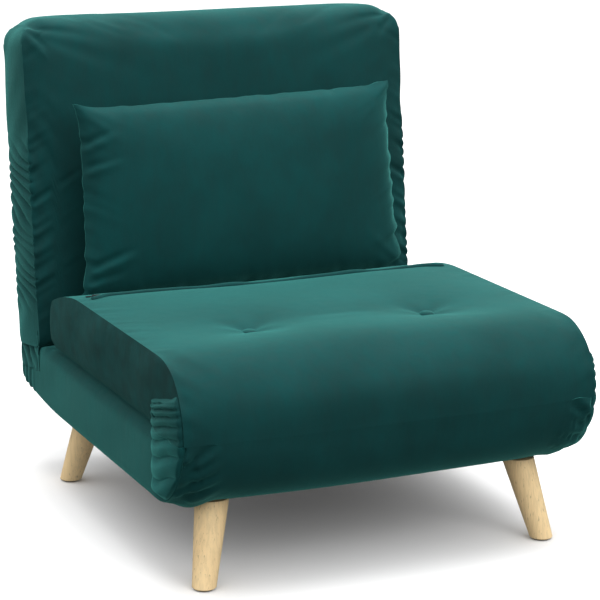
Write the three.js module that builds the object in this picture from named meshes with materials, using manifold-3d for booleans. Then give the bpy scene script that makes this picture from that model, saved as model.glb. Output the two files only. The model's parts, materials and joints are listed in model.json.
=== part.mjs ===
// Single chair bed: three velvet mattress sections on a steel frame with four splayed wooden legs.
// The seat section swings forward about the front fold, the backrest reclines flat on ratchet
// hinges, a steel foot folds out of the seat's rear, and a loose pillow leans on the backrest.
// Millimetres, +Z up, front towards -Y, origin on the floor below the middle of the object.
import * as THREE from 'three';
import { mergeVertices } from 'three/addons/utils/BufferGeometryUtils.js';
import Module from 'manifold-3d';

const wasm = await Module();
wasm.setup();

// Driving dimensions.
const HALF_WIDTH = 350;
const HALF_DEPTH = 430;
const BASE_BOTTOM = 133;
const BASE_REAR = 234;
const CREASE = 248;
const SEAT_TOP = 362;
const SEAT_REAR = 194;
const SEAT_REAR_TOP = 325;
const SEAT_SLOPE_START = 100;
const BACK_LENGTH = 625;
const BACK_LOWER_END = -33;
const BACK_FRONT = -78;
const BACK_TILT = THREE.MathUtils.degToRad(7);
const SKIN = 2.5;
const GAP = 0.3;
const HANDS = [[-1, 'left'], [1, 'right']];

// Axes of the moving parts, as points in the Y-Z plane.
const BARREL_RADIUS = 6;
const FOLD_PIVOT = { y: -HALF_DEPTH + BARREL_RADIUS, z: CREASE };
const BACK_PIVOT = { y: 321, z: 170 };
const FOOT_PIVOT = { y: 40, z: 345 };

// Steel tubes, slats and foam layers.
const TUBE = 25;
const SMALL_TUBE = 20;
const WALL = 1.5;
const SLAT_THICKNESS = 8;
const SLAT_WIDTH = 56;
const BASE_FRAME_Z = 138.3;
const BASE_RAIL_OUTER = 345;
const BASE_FRAME_FRONT = -325;
const BASE_RAIL_END = 345;
const BASE_CROSS_Y = [BASE_FRAME_FRONT, -60, BASE_REAR - 4 - TUBE];
const BASE_SLATS = { y: [-215, -20, 160], halfLength: 335 };
const RAIL_CLEARANCE = [BASE_RAIL_OUTER - TUBE - 1, BASE_RAIL_OUTER + 1];
const RAIL_BEVEL_START = 215;
const RAIL_BEVEL_HEIGHT = 13.7;
const SEAT_FRAME_Z = 286.3;
const SEAT_RAIL_OUTER = 338;
const SEAT_FRAME_FRONT = -405;
const SEAT_CROSS_Y = [SEAT_FRAME_FRONT, -175, 30, 135];
const SEAT_RAIL_END = 180;
const SEAT_SLATS = { y: [-320, -210, -60], halfLength: 330 };
const BACK_RAIL_OUTER = 311;
const BACK_FRAME_END = 600;
const BACK_CROSS_Z = [-10, 290, BACK_FRAME_END - 25];
const BACK_SLATS = { z: [140, 300, 460], halfLength: 306 };
const BACK_REAR = (HALF_DEPTH - BACK_PIVOT.y - BACK_LENGTH * Math.sin(BACK_TILT)) / Math.cos(BACK_TILT);
const BACK_FRAME_Y = BACK_REAR - SKIN - SMALL_TUBE - 0.6;
const FOAM_HALF_WIDTH = 342;
const BASE_FOAM = { front: -418, rear: BASE_REAR - 6, bottom: 172, top: 244.5 };
const SEAT_FOAM = { front: -406, rear: 189, bottom: 315, belowTop: 3.5 };

// Wooden legs: centres of their tops and feet, for the right-hand side.
const LEG_TOP_RADIUS = 27;
const LEG_FOOT_RADIUS = 19;
const GLIDE_THICKNESS = 2;
const BOLT_RADIUS = 4;
const PLATE_BOTTOM = 135;
const LEGS = {
  front: { top: [268, -346], foot: [296, -383], plate: [[240, 342], [-356, -302]] },
  rear: { top: [286, 168], foot: [315, 204], plate: [[245, 342], [132, 208]] },
};

// Ratchet hinges of the backrest.
const RATCHET = { teeth: 24, rootRadius: 28, tipRadius: 32, slant: 0.06 };
const RECLINE_BORE = 4.4;

// Fold-out foot.
const FOOT_TUBE_RADIUS = 8;
const FOOT_ARM_X = 245;
const FOOT_STOW_TILT = THREE.MathUtils.degToRad(12);
const FOOT_SLEEVE_RADIUS = 9.5;
const FOOT_BORE = 3.5;
const FOOT_BEND = 30;
const FOOT_REACH = 2 * CREASE - FOOT_PIVOT.z - 0.5;
const FOOT_BAR_Y = FOOT_REACH - FOOT_SLEEVE_RADIUS;
const FLAP_START = 62;
const FLAP_END = 188;
const FLAP_HALF_WIDTH = 300;

// Front fold hinges, one plate on each section, and the pocket that each needs in foam and cover.
const LEAF_THICKNESS = 3;
const BASE_LEAF_X = 299;
const SEAT_LEAF_X = 304;
const HINGE_POCKET = [296, 312];
const FOLD_BORE = 2.8;

const BUTTON = { x: 157, y: -230, z: 347, radius: 14, height: 7 };
const PILLOW = { halfWidth: 298, halfHeight: 158, halfThickness: 60, y: -168, z: 321.5 };

const velvet = new THREE.MeshStandardMaterial({ color: 0x1c4e4a, roughness: 0.85, metalness: 0 });
const foam = new THREE.MeshStandardMaterial({ color: 0xe8dfc4, roughness: 0.95, metalness: 0 });
const lining = new THREE.MeshStandardMaterial({ color: 0x1b1b1d, roughness: 0.95, metalness: 0 });
const beech = new THREE.MeshStandardMaterial({ color: 0xd9b184, roughness: 0.55, metalness: 0 });
const birch = new THREE.MeshStandardMaterial({ color: 0xe0c79a, roughness: 0.65, metalness: 0 });
const blackSteel = new THREE.MeshStandardMaterial({ color: 0x26272a, roughness: 0.5, metalness: 0.6 });
const zincSteel = new THREE.MeshStandardMaterial({ color: 0xa9adb0, roughness: 0.35, metalness: 0.9 });
const rubber = new THREE.MeshStandardMaterial({ color: 0x161616, roughness: 0.9, metalness: 0 });

function part(name, geometry, material) {
  const mesh = new THREE.Mesh(geometry, material);
  mesh.name = name;
  return mesh;
}

function toSolid(geometry) {
  const plain = geometry.clone();
  plain.deleteAttribute('normal');
  plain.deleteAttribute('uv');
  const merged = mergeVertices(plain, 1e-3);
  return new wasm.Manifold(new wasm.Mesh({
    numProp: 3,
    vertProperties: new Float32Array(merged.attributes.position.array),
    triVerts: new Uint32Array(merged.index.array),
  }));
}

function toGeometry(solid) {
  const mesh = solid.getMesh();
  const geometry = new THREE.BufferGeometry();
  geometry.setAttribute('position', new THREE.BufferAttribute(mesh.vertProperties, 3));
  geometry.setIndex(new THREE.BufferAttribute(mesh.triVerts, 1));
  geometry.computeVertexNormals();
  return geometry;
}

function cut(geometry, ...cutters) {
  return toGeometry(cutters.reduce((solid, cutter) => solid.subtract(toSolid(cutter)), toSolid(geometry)));
}

function join(...geometries) {
  return toGeometry(geometries.map(toSolid).reduce((solid, next) => solid.add(next)));
}

// A box between two limits on each axis.
function box([x0, x1], [y0, y1], [z0, z1]) {
  const geometry = new THREE.BoxGeometry(x1 - x0, y1 - y0, z1 - z0);
  return geometry.translate((x0 + x1) / 2, (y0 + y1) / 2, (z0 + z1) / 2);
}

// The same pair of limits on the left (side -1) or right (side 1).
function sided(side, [inner, outer]) {
  return side > 0 ? [inner, outer] : [-outer, -inner];
}

function extrude(outline, depth, curveSegments) {
  return new THREE.ExtrudeGeometry(outline, { depth, bevelEnabled: false, curveSegments });
}

// Extrudes an outline drawn in the Y-Z plane along X between two limits.
function alongX(outline, [x0, x1]) {
  const geometry = extrude(outline, x1 - x0, 10);
  const yToZ = new THREE.Matrix4().makeBasis(
    new THREE.Vector3(0, 1, 0),
    new THREE.Vector3(0, 0, 1),
    new THREE.Vector3(1, 0, 0),
  );
  return geometry.applyMatrix4(yToZ).translate(x0, 0, 0);
}

function polygon(points) {
  return new THREE.Shape(points.map(([y, z]) => new THREE.Vector2(y, z)));
}

function circle(y, z, radius, sides = 20) {
  const points = [];
  for (let i = 0; i < sides; i += 1) {
    const angle = (2 * Math.PI * i) / sides;
    points.push([y + radius * Math.cos(angle), z + radius * Math.sin(angle)]);
  }
  return polygon(points);
}

function pin(name, { y, z }, radius, limits) {
  return part(name, alongX(circle(y, z, radius), limits), zincSteel);
}

// A welded frame of square tubes whose bores meet and open at the rails' ends. Each tube is a box
// whose long direction is given; cross tubes run from one rail's centre line to the other's.
function weldedFrame(tubes, extras = []) {
  const outer = tubes.map(({ limits }) => box(...limits));
  const wall = (axis) => (axis === 0 ? WALL + 0.2 : WALL);
  const bores = tubes.map(({ limits, axis }) => box(...limits.map(([low, high], index) => (
    index === axis ? [low - 1, high + 1] : [low + wall(axis), high - wall(axis)]
  ))));
  return cut(join(...outer, ...extras), ...bores);
}

function baseOutline(inset) {
  const front = FOLD_PIVOT.y + GAP + inset;
  const top = CREASE - GAP - inset;
  const shape = new THREE.Shape();
  shape.moveTo(front, top);
  shape.lineTo(front, 215);
  shape.quadraticCurveTo(-415 + inset, 165 + inset, -362 + inset, BASE_BOTTOM + inset);
  shape.lineTo(BASE_REAR - inset, BASE_BOTTOM + inset);
  shape.lineTo(BASE_REAR - inset, top);
  return shape;
}

function seatOutline(inset) {
  const front = FOLD_PIVOT.y + GAP + inset;
  const bottom = CREASE + GAP + inset;
  const shape = new THREE.Shape();
  shape.moveTo(front, bottom);
  shape.lineTo(187 - inset, bottom);
  shape.lineTo(SEAT_REAR + 2 - inset, 275);
  shape.lineTo(SEAT_REAR - inset, SEAT_REAR_TOP - inset);
  shape.lineTo(SEAT_SLOPE_START, SEAT_TOP - inset);
  shape.lineTo(-340, SEAT_TOP - inset);
  shape.quadraticCurveTo(-415 + inset, 352 - inset, front, 285);
  return shape;
}

// Pockets at the front fold that leave room for the two hinges.
function hingePockets(yEnd, zLimits) {
  return [-1, 1].map((side) => box(sided(side, HINGE_POCKET), [-HALF_DEPTH - 5, yEnd], zLimits));
}

function slats(prefix, layout, zBottom) {
  return layout.y.map((y, index) => {
    const limits = [[-layout.halfLength, layout.halfLength], [y - SLAT_WIDTH / 2, y + SLAT_WIDTH / 2]];
    return part(`${prefix}_${index + 1}`, box(...limits, [zBottom, zBottom + SLAT_THICKNESS]), birch);
  });
}

function baseFrame() {
  const z = [BASE_FRAME_Z, BASE_FRAME_Z + TUBE];
  const centre = BASE_RAIL_OUTER - TUBE / 2;
  const railEnds = [BASE_FRAME_FRONT - 25, BASE_RAIL_END];
  const rail = (side) => ({
    limits: [sided(side, [BASE_RAIL_OUTER - TUBE, BASE_RAIL_OUTER]), railEnds, z],
    axis: 1,
  });
  const cross = (y) => ({ limits: [[-centre, centre], [y, y + TUBE], z], axis: 0 });
  const tubes = [rail(-1), rail(1), ...BASE_CROSS_Y.map(cross)];
  const plates = Object.values(LEGS).flatMap(({ plate: [x, y] }) => [-1, 1].map((side) => (
    box(sided(side, x), y, [PLATE_BOTTOM, BASE_FRAME_Z + 0.6])
  )));
  const holes = Object.values(LEGS).flatMap(({ top: [x, y] }) => [-1, 1].map((side) => (
    new THREE.CylinderGeometry(BOLT_RADIUS + GAP, BOLT_RADIUS + GAP, 20, 16)
      .rotateX(Math.PI / 2).translate(side * x, y, PLATE_BOTTOM)
  )));
  const heel = polygon([
    [RAIL_BEVEL_START, BASE_FRAME_Z - 0.1],
    [BASE_RAIL_END + 1, BASE_FRAME_Z - 0.1],
    [BASE_RAIL_END + 1, BASE_FRAME_Z + RAIL_BEVEL_HEIGHT],
  ]);
  const bevels = [-1, 1].map((side) => alongX(heel, sided(side, RAIL_CLEARANCE)));
  return part('base_frame', cut(weldedFrame(tubes, plates), ...holes, ...bevels), blackSteel);
}

function baseFoam() {
  const { front, rear, bottom, top } = BASE_FOAM;
  const shape = new THREE.Shape();
  shape.moveTo(front, top);
  shape.lineTo(front, 215);
  shape.quadraticCurveTo(front + 8, bottom + 2, front + 38, bottom);
  shape.lineTo(rear, bottom);
  shape.lineTo(rear, top);
  const block = alongX(shape, [-FOAM_HALF_WIDTH, FOAM_HALF_WIDTH]);
  return part('base_foam', cut(block, ...hingePockets(-292, [160, 260])), foam);
}

// A fabric shell round a mattress section, open where the cutters say.
function shell(outline, ...cutters) {
  const outer = alongX(outline(0), [-HALF_WIDTH, HALF_WIDTH]);
  const inner = alongX(outline(SKIN), [-HALF_WIDTH + SKIN, HALF_WIDTH - SKIN]);
  return cut(outer, inner, ...cutters);
}

function baseCover() {
  const openBottom = box([-343, 343], [-358, 227], [BASE_BOTTOM - 5, BASE_BOTTOM + 4]);
  const railSlots = [-1, 1].map((side) => (
    box(sided(side, RAIL_CLEARANCE), [BASE_REAR - 8, BASE_REAR + 5], [136, 166])
  ));
  const cutters = [openBottom, ...railSlots, ...hingePockets(-410, [228, 260])];
  return part('base_cover', shell(baseOutline, ...cutters), velvet);
}

function dustCover() {
  const sheet = box([-340.5, 340.5], [-351.5, 226.5], [BASE_BOTTOM, BASE_BOTTOM + 1.7]);
  const holes = Object.values(LEGS).flatMap(({ top: [x, y] }) => [-1, 1].map((side) => (
    new THREE.CylinderGeometry(6, 6, 20, 16).rotateX(Math.PI / 2).translate(side * x, y, BASE_BOTTOM)
  )));
  return part('dust_cover', cut(sheet, ...holes), lining);
}

// A turned leg, sheared so that its flat foot and flat top stay level.
function leg(name, side, { top, foot }) {
  const height = BASE_BOTTOM - GAP - GLIDE_THICKNESS;
  const profile = [
    [0, 0], [LEG_FOOT_RADIUS - 1.5, 0], [LEG_FOOT_RADIUS, 1.5], [LEG_TOP_RADIUS, height], [0, height],
  ];
  const turned = new THREE.LatheGeometry(profile.map(([r, h]) => new THREE.Vector2(r, h)), 36);
  turned.rotateX(Math.PI / 2);
  const lean = [(side * (top[0] - foot[0])) / height, (top[1] - foot[1]) / height];
  turned.applyMatrix4(new THREE.Matrix4().set(
    1, 0, lean[0], side * foot[0],
    0, 1, lean[1], foot[1],
    0, 0, 1, GLIDE_THICKNESS,
    0, 0, 0, 1,
  ));
  const bore = new THREE.CylinderGeometry(BOLT_RADIUS + GAP, BOLT_RADIUS + GAP, 90, 16)
    .rotateX(Math.PI / 2).translate(side * top[0], top[1], BASE_BOTTOM);
  return part(name, cut(turned, bore), beech);
}

function legBolt(name, side, { top: [x, y] }) {
  const profile = [[0, -42], [BOLT_RADIUS, -42], [BOLT_RADIUS, 6.3], [7, 6.3], [7, 11.5], [0, 11.5]];
  const turned = new THREE.LatheGeometry(profile.map(([r, h]) => new THREE.Vector2(r, h)), 18);
  turned.rotateX(Math.PI / 2).translate(side * x, y, BASE_BOTTOM);
  return part(name, turned, zincSteel);
}

function legGlide(name, side, { foot: [x, y] }) {
  const disc = new THREE.CylinderGeometry(15, 14, GLIDE_THICKNESS - GAP, 24);
  disc.rotateX(Math.PI / 2).translate(side * x, y, (GLIDE_THICKNESS - GAP) / 2);
  return part(name, disc, lining);
}

function legSet() {
  return Object.entries(LEGS).flatMap(([place, layout]) => HANDS.flatMap(([side, hand]) => [
    leg(`leg_${place}_${hand}`, side, layout),
    legBolt(`leg_bolt_${place}_${hand}`, side, layout),
    legGlide(`leg_glide_${place}_${hand}`, side, layout),
  ]));
}

function baseHingeLeaf(name, side) {
  const x = sided(side, [BASE_LEAF_X, BASE_LEAF_X + LEAF_THICKNESS]);
  const { y, z } = FOLD_PIVOT;
  const top = BASE_FRAME_Z + TUBE + GAP;
  const arm = alongX(polygon([[-324, top], [-300, top], [-300, 182], [y + 6, z + 1], [y - 3, z - 5]]), x);
  const ring = alongX(circle(y, z, BARREL_RADIUS), x);
  const bore = alongX(circle(y, z, FOLD_BORE, 12), [x[0] - 1, x[1] + 1]);
  return part(name, cut(join(arm, ring), bore), zincSteel);
}

function seatHingeLeaf(name, side) {
  const x = sided(side, [SEAT_LEAF_X, SEAT_LEAF_X + LEAF_THICKNESS]);
  const { y, z } = FOLD_PIVOT;
  const top = SEAT_FRAME_Z - GAP;
  const arm = alongX(polygon([[-405, top], [y - 5, z + 3], [y + 5, z - 3], [-386, top]]), x);
  const ring = alongX(circle(y, z, BARREL_RADIUS), x);
  const bore = alongX(circle(y, z, FOLD_BORE, 12), [x[0] - 1, x[1] + 1]);
  return part(name, cut(join(arm, ring), bore), zincSteel);
}

// Fixed ratchet plate of the recline hinge: a toothed quadrant on a foot that sits on the rail.
function reclinePlate(name, side) {
  const x = sided(side, [BASE_RAIL_OUTER - TUBE + 1, BASE_RAIL_OUTER - TUBE + 5]);
  const { y, z } = BACK_PIVOT;
  const { teeth, rootRadius, tipRadius, slant } = RATCHET;
  const points = [];
  for (let i = 0; i < teeth; i += 1) {
    const root = (2 * Math.PI * i) / teeth;
    const tip = root + slant;
    points.push([y + rootRadius * Math.cos(root), z + rootRadius * Math.sin(root)]);
    points.push([y + tipRadius * Math.cos(tip), z + tipRadius * Math.sin(tip)]);
  }
  const railTop = BASE_FRAME_Z + TUBE + GAP;
  const below = box([x[0] - 1, x[1] + 1], [y - 50, y + 50], [z - 60, railTop]);
  const quadrant = cut(alongX(polygon(points), x), below);
  const foot = box(x, [y - 45, BASE_RAIL_END - 1], [railTop, railTop + 12]);
  const bore = alongX(circle(y, z, RECLINE_BORE, 16), [x[0] - 1, x[1] + 1]);
  return part(name, cut(join(quadrant, foot), bore), zincSteel);
}

function baseSection() {
  const group = new THREE.Group();
  const slatZ = BASE_FRAME_Z + TUBE + GAP;
  group.add(baseFrame(), ...slats('base_slat', BASE_SLATS, slatZ));
  group.add(baseFoam(), baseCover(), dustCover(), ...legSet());
  for (const [side, hand] of HANDS) {
    group.add(baseHingeLeaf(`fold_hinge_base_leaf_${hand}`, side));
    group.add(reclinePlate(`recline_plate_${hand}`, side));
  }
  return group;
}

function seatFrame() {
  const z = [SEAT_FRAME_Z, SEAT_FRAME_Z + SMALL_TUBE];
  const centre = SEAT_RAIL_OUTER - SMALL_TUBE / 2;
  const railEnds = [SEAT_FRAME_FRONT - 8, SEAT_RAIL_END];
  const rail = (side) => ({
    limits: [sided(side, [SEAT_RAIL_OUTER - SMALL_TUBE, SEAT_RAIL_OUTER]), railEnds, z],
    axis: 1,
  });
  const cross = (y) => ({ limits: [[-centre, centre], [y, y + SMALL_TUBE], z], axis: 0 });
  const tubes = [rail(-1), rail(1), ...SEAT_CROSS_Y.map(cross)];
  return part('seat_frame', weldedFrame(tubes), blackSteel);
}

// Upper foam of the seat, with a recess for the fold-out foot and dimples under the buttons.
function seatFoam() {
  const { front, rear, bottom, belowTop } = SEAT_FOAM;
  const top = SEAT_TOP - belowTop;
  const shape = new THREE.Shape();
  shape.moveTo(front, bottom);
  shape.lineTo(rear, bottom);
  shape.lineTo(rear, SEAT_REAR_TOP - belowTop);
  shape.lineTo(SEAT_SLOPE_START - 2, top);
  shape.lineTo(front + 70, top);
  shape.quadraticCurveTo(front + 12, top - 7.5, front, bottom);
  const block = alongX(shape, [-FOAM_HALF_WIDTH, FOAM_HALF_WIDTH]);
  const recess = box([-268, 268], [15, 200], [300, 380]);
  return part('seat_foam', cut(block, recess, ...buttonWells()), foam);
}

function sleepFoam() {
  const x = [-FOAM_HALF_WIDTH, FOAM_HALF_WIDTH];
  const block = box(x, [BASE_FOAM.front, 182], [CREASE + SKIN + 0.8, SEAT_FRAME_Z - GAP]);
  return part('sleep_foam', cut(block, ...hingePockets(-380, [240, 290])), foam);
}

function buttonWells() {
  return [-1, 1].map((side) => (
    new THREE.CylinderGeometry(BUTTON.radius + 3, BUTTON.radius + 3, 40, 24)
      .rotateX(Math.PI / 2).translate(side * BUTTON.x, BUTTON.y, BUTTON.z + 19)
  ));
}

function seatCover() {
  const flapReach = FLAP_HALF_WIDTH + 0.5;
  const flapHole = box([-flapReach, flapReach], [FLAP_START - 0.5, FLAP_END + 0.5], [316, 370]);
  const armSlots = [-1, 1].map((side) => box(sided(side, [233, 266]), [28, FLAP_START], [350, 370]));
  const cutters = [flapHole, ...armSlots, ...buttonWells(), ...hingePockets(-410, [240, 270])];
  return part('seat_cover', shell(seatOutline, ...cutters), velvet);
}

function button(name, side) {
  const { radius, height } = BUTTON;
  const profile = [[0, 0], [radius - 3, 0], [radius, 2], [radius - 2, 4.5], [8, 6.4], [0, height]];
  const turned = new THREE.LatheGeometry(profile.map(([r, h]) => new THREE.Vector2(r, h)), 24);
  turned.rotateX(Math.PI / 2).translate(side * BUTTON.x, BUTTON.y, BUTTON.z);
  return part(name, turned, velvet);
}

function zipSlider() {
  const slider = box([-318, -304], [FLAP_START - 6, FLAP_START + 2], [SEAT_TOP + GAP, SEAT_TOP + 3]);
  const pull = box([-330, -315], [FLAP_START - 4, FLAP_START], [SEAT_TOP + 1, SEAT_TOP + 2.2]);
  return part('zip_slider', join(slider, pull), zincSteel);
}

// Bracket that carries the fold-out foot's pivot above a cross tube of the seat frame.
function footBracket(name, side) {
  const x = sided(side, [257, 260]);
  const { y, z } = FOOT_PIVOT;
  const base = SEAT_FRAME_Z + SMALL_TUBE + GAP;
  const upright = alongX(polygon([[31, base], [49, base], [y + 7, z], [y - 7, z]]), x);
  const eye = alongX(circle(y, z, 7.5), x);
  const bore = alongX(circle(y, z, FOOT_BORE, 14), [x[0] - 1, x[1] + 1]);
  return part(name, cut(join(upright, eye), bore), blackSteel);
}

function seatSection() {
  const group = new THREE.Group();
  const slatZ = SEAT_FRAME_Z + SMALL_TUBE + GAP;
  group.add(seatFrame(), ...slats('seat_slat', SEAT_SLATS, slatZ));
  group.add(seatFoam(), sleepFoam(), seatCover(), zipSlider());
  for (const [side, hand] of HANDS) {
    group.add(button(`button_${hand}`, side));
    group.add(seatHingeLeaf(`fold_hinge_seat_leaf_${hand}`, side));
    const pinEnds = sided(side, [BASE_LEAF_X - 2, SEAT_LEAF_X + LEAF_THICKNESS + 2]);
    group.add(pin(`fold_hinge_pin_${hand}`, FOLD_PIVOT, 2.4, pinEnds));
    group.add(footBracket(`foot_bracket_${hand}`, side));
  }
  return group;
}

// U-shaped steel foot, drawn with its arms along the group's Y axis from the pivot.
function footLeg() {
  const path = new THREE.CurvePath();
  const at = (x, y) => new THREE.Vector3(x, y, 0);
  const end = FOOT_BAR_Y - FOOT_BEND;
  const inner = FOOT_ARM_X - FOOT_BEND;
  path.add(new THREE.LineCurve3(at(-FOOT_ARM_X, -9), at(-FOOT_ARM_X, end)));
  path.add(new THREE.QuadraticBezierCurve3(
    at(-FOOT_ARM_X, end), at(-FOOT_ARM_X, FOOT_BAR_Y), at(-inner, FOOT_BAR_Y),
  ));
  path.add(new THREE.LineCurve3(at(-inner, FOOT_BAR_Y), at(inner, FOOT_BAR_Y)));
  path.add(new THREE.QuadraticBezierCurve3(
    at(inner, FOOT_BAR_Y), at(FOOT_ARM_X, FOOT_BAR_Y), at(FOOT_ARM_X, end),
  ));
  path.add(new THREE.LineCurve3(at(FOOT_ARM_X, end), at(FOOT_ARM_X, -9)));
  const round = circle(0, 0, FOOT_TUBE_RADIUS, 12);
  const tube = new THREE.ExtrudeGeometry(round, { steps: 60, extrudePath: path });
  const bore = alongX(circle(0, 0, FOOT_BORE, 14), [-FOOT_ARM_X - 20, FOOT_ARM_X + 20]);
  return part('foot_leg', cut(tube, bore), blackSteel);
}

function footSleeve(name, side) {
  const ring = circle(FOOT_BAR_Y, 0, FOOT_SLEEVE_RADIUS, 24);
  ring.holes.push(circle(FOOT_BAR_Y, 0, FOOT_TUBE_RADIUS + 0.4, 24));
  return part(name, alongX(ring, sided(side, [165, 205])), rubber);
}

// Zip-on velvet flap over the stowed foot. It lifts with the foot.
function footFlap() {
  const slope = (SEAT_TOP - SEAT_REAR_TOP) / (SEAT_REAR - SEAT_SLOPE_START);
  const rearTop = SEAT_TOP - slope * (FLAP_END - SEAT_SLOPE_START);
  const outline = polygon([
    [FLAP_START, SEAT_TOP - SKIN], [SEAT_SLOPE_START, SEAT_TOP - SKIN], [FLAP_END, rearTop - SKIN],
    [FLAP_END, rearTop], [SEAT_SLOPE_START, SEAT_TOP], [FLAP_START, SEAT_TOP],
  ]);
  return part('foot_flap', alongX(outline, [-FLAP_HALF_WIDTH, FLAP_HALF_WIDTH]), velvet);
}

function footSection() {
  const group = new THREE.Group();
  const stowed = new THREE.Group();
  stowed.position.set(0, FOOT_PIVOT.y, FOOT_PIVOT.z);
  stowed.rotation.x = -FOOT_STOW_TILT;
  stowed.add(footLeg(), footSleeve('foot_sleeve_left', -1), footSleeve('foot_sleeve_right', 1));
  group.add(stowed, footFlap());
  HANDS.forEach(([side, hand]) => {
    group.add(pin(`foot_pin_${hand}`, FOOT_PIVOT, 3.1, sided(side, [FOOT_ARM_X - 12, FOOT_ARM_X + 18])));
  });
  return group;
}

// Outline of the backrest in its own X-Z plane, with round top corners.
function backOutline(inset) {
  const side = HALF_WIDTH - inset;
  const top = BACK_LENGTH - inset;
  const bottom = BACK_LOWER_END + inset;
  const radius = 42 - inset;
  const shape = new THREE.Shape();
  shape.moveTo(-side, bottom);
  shape.lineTo(side, bottom);
  shape.lineTo(side, top - radius);
  shape.absarc(side - radius, top - radius, radius, 0, Math.PI / 2, false);
  shape.lineTo(-side + radius, top);
  shape.absarc(-side + radius, top - radius, radius, Math.PI / 2, Math.PI, false);
  return shape;
}

// Extrudes an outline drawn in the X-Z plane along Y between two limits.
function alongY(outline, [y0, y1]) {
  const geometry = extrude(outline, y1 - y0, 8);
  return geometry.rotateX(Math.PI / 2).translate(0, y1, 0);
}

// Lower corners of the backrest that stay open for the recline hinges.
function reclineNotches() {
  return [-1, 1].map((side) => box(sided(side, [308, HALF_WIDTH + 5]), [-100, 60], [-60, 92]));
}

function backFrame() {
  const y = [BACK_FRAME_Y, BACK_FRAME_Y + SMALL_TUBE];
  const centre = BACK_RAIL_OUTER - SMALL_TUBE / 2;
  const rail = (side) => ({
    limits: [sided(side, [BACK_RAIL_OUTER - SMALL_TUBE, BACK_RAIL_OUTER]), y, [-20, BACK_FRAME_END]],
    axis: 2,
  });
  const cross = (z) => ({ limits: [[-centre, centre], y, [z, z + SMALL_TUBE]], axis: 0 });
  const tubes = [rail(-1), rail(1), ...BACK_CROSS_Z.map(cross)];
  return part('back_frame', weldedFrame(tubes), blackSteel);
}

function backSlats() {
  const y = [BACK_FRAME_Y - GAP - SLAT_THICKNESS, BACK_FRAME_Y - GAP];
  const x = [-BACK_SLATS.halfLength, BACK_SLATS.halfLength];
  return BACK_SLATS.z.map((z, index) => (
    part(`back_slat_${index + 1}`, box(x, y, [z - SLAT_WIDTH / 2, z + SLAT_WIDTH / 2]), birch)
  ));
}

function backFoam() {
  const block = alongY(backOutline(6), [BACK_FRONT + 3, BACK_FRAME_Y - 2 * GAP - SLAT_THICKNESS]);
  return part('back_foam', cut(block, ...reclineNotches()), foam);
}

function backCover() {
  const outer = alongY(backOutline(0), [BACK_FRONT, BACK_REAR]);
  const inner = alongY(backOutline(SKIN), [BACK_FRONT + SKIN, BACK_REAR - SKIN]);
  const zipOpening = box([-250, 250], [-40, 10], [BACK_LOWER_END - 5, BACK_LOWER_END + 5]);
  return part('back_cover', cut(outer, inner, zipOpening, ...reclineNotches()), velvet);
}

function reclineArm(name, side) {
  const x = sided(side, [BACK_RAIL_OUTER + GAP, BACK_RAIL_OUTER + GAP + 4]);
  const inner = BACK_FRAME_Y + 3;
  const outer = BACK_FRAME_Y + SMALL_TUBE;
  const bar = alongX(polygon([
    [-11, -5], [12, -8], [outer, 55], [outer, 150], [inner, 150], [inner, 80], [-9, 12],
  ]), x);
  const eye = alongX(circle(0, 0, 14, 24), x);
  const bore = alongX(circle(0, 0, RECLINE_BORE, 16), [x[0] - 1, x[1] + 1]);
  return part(name, cut(join(bar, eye), bore), zincSteel);
}

// Pillow: a superellipsoid with a square outline and a thin edge.
function pillow() {
  const geometry = new THREE.SphereGeometry(1, 36, 18);
  const position = geometry.attributes.position;
  const seam = 1e-9;
  const squash = (value, power) => (
    Math.abs(value) < seam ? 0 : Math.sign(value) * Math.abs(value) ** power
  );
  for (let i = 0; i < position.count; i += 1) {
    const radial = Math.hypot(position.getX(i), position.getZ(i));
    const along = radial > 1e-6 ? position.getX(i) / radial : 0;
    const up = radial > 1e-6 ? position.getZ(i) / radial : 0;
    const reach = squash(radial, 0.8);
    position.setXYZ(
      i,
      PILLOW.halfWidth * reach * squash(along, 0.35),
      PILLOW.halfThickness * squash(position.getY(i), 0.9),
      PILLOW.halfHeight * reach * squash(up, 0.35),
    );
  }
  geometry.translate(0, PILLOW.y, PILLOW.z);
  return part('pillow', toGeometry(toSolid(geometry)), velvet);
}

// Everything that leans with the backrest, in a group turned about the recline axis.
function backSection() {
  const group = new THREE.Group();
  group.position.set(0, BACK_PIVOT.y, BACK_PIVOT.z);
  group.rotation.x = -BACK_TILT;
  group.add(backFrame(), ...backSlats(), backFoam(), backCover(), pillow());
  for (const [side, hand] of HANDS) {
    group.add(reclineArm(`recline_arm_${hand}`, side));
    group.add(pin(`recline_pin_${hand}`, { y: 0, z: 0 }, 4.1, sided(side, [309, 328])));
  }
  return group;
}

const chairBed = new THREE.Group();
chairBed.add(baseSection(), seatSection(), footSection(), backSection());

export default chairBed;
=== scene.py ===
import json
import math

import bmesh
import bpy
import numpy as np
from mathutils import Matrix, Vector
from mathutils.bvhtree import BVHTree


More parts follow.
